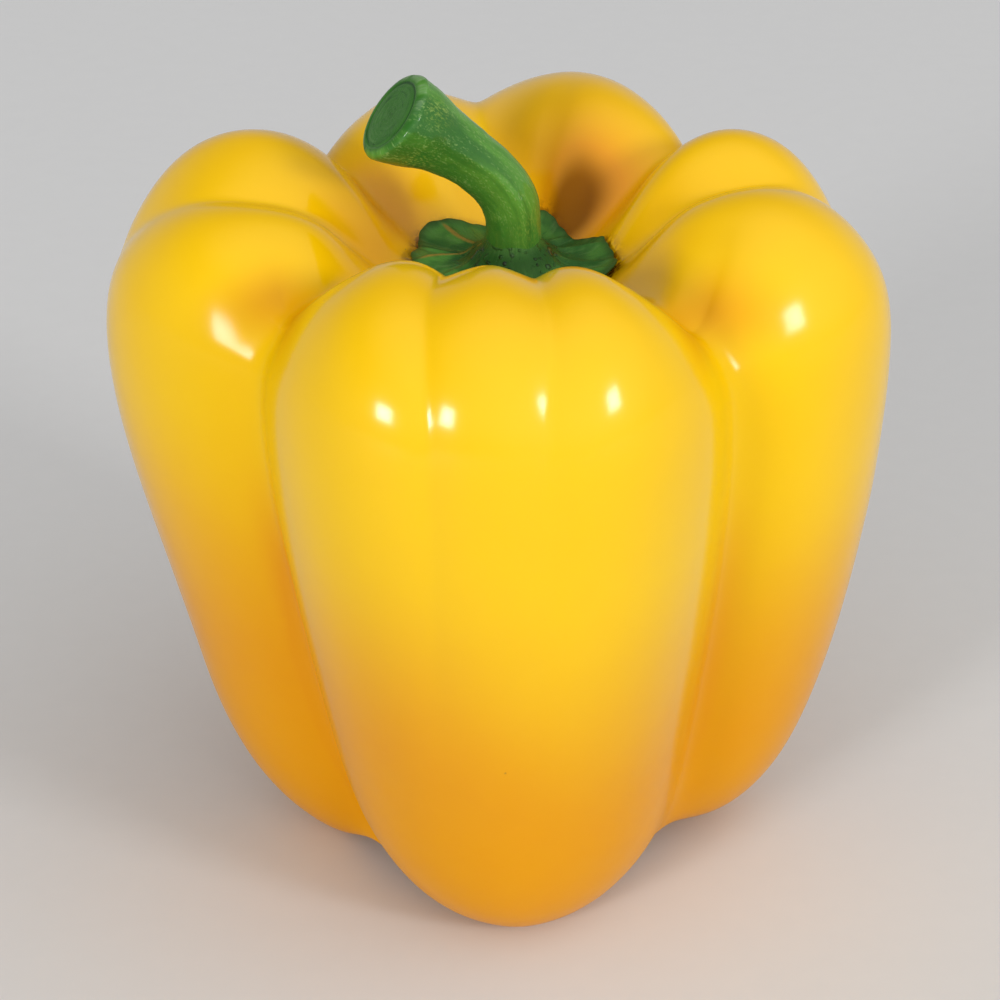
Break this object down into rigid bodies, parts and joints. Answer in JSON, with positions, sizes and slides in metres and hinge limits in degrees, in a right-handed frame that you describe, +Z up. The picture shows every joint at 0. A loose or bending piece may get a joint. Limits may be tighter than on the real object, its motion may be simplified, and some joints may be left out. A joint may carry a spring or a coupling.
{
  "type": "bell pepper",
  "caption": "Blocky yellow bell pepper with deep lobes, a green calyx in its stem well and a short bent stalk with a flared cut end.",
  "frame": {"origin": "on the surface that the pepper stands on, under the middle of its outline seen from above", "axes": "+Z up along the fruit's axis towards the stalk, -Y towards the lobe that faces the viewer, +X to the viewer's right; the stalk leans towards -X"},
  "size_m": [0.0952, 0.0908, 0.1025],
  "materials": {
    "skin": "smooth waxy gloss, yellow, warmer towards the blossom end",
    "calyx": "dark green leaf with raised paler veins, half gloss",
    "stalk": "green with yellow-green flecks and fine lengthwise streaks, half gloss"
  },
  "bodies": {
    "root": {"fruit": "skin", "calyx": "calyx", "stalk": "stalk"}
  },
  "joints": []
}
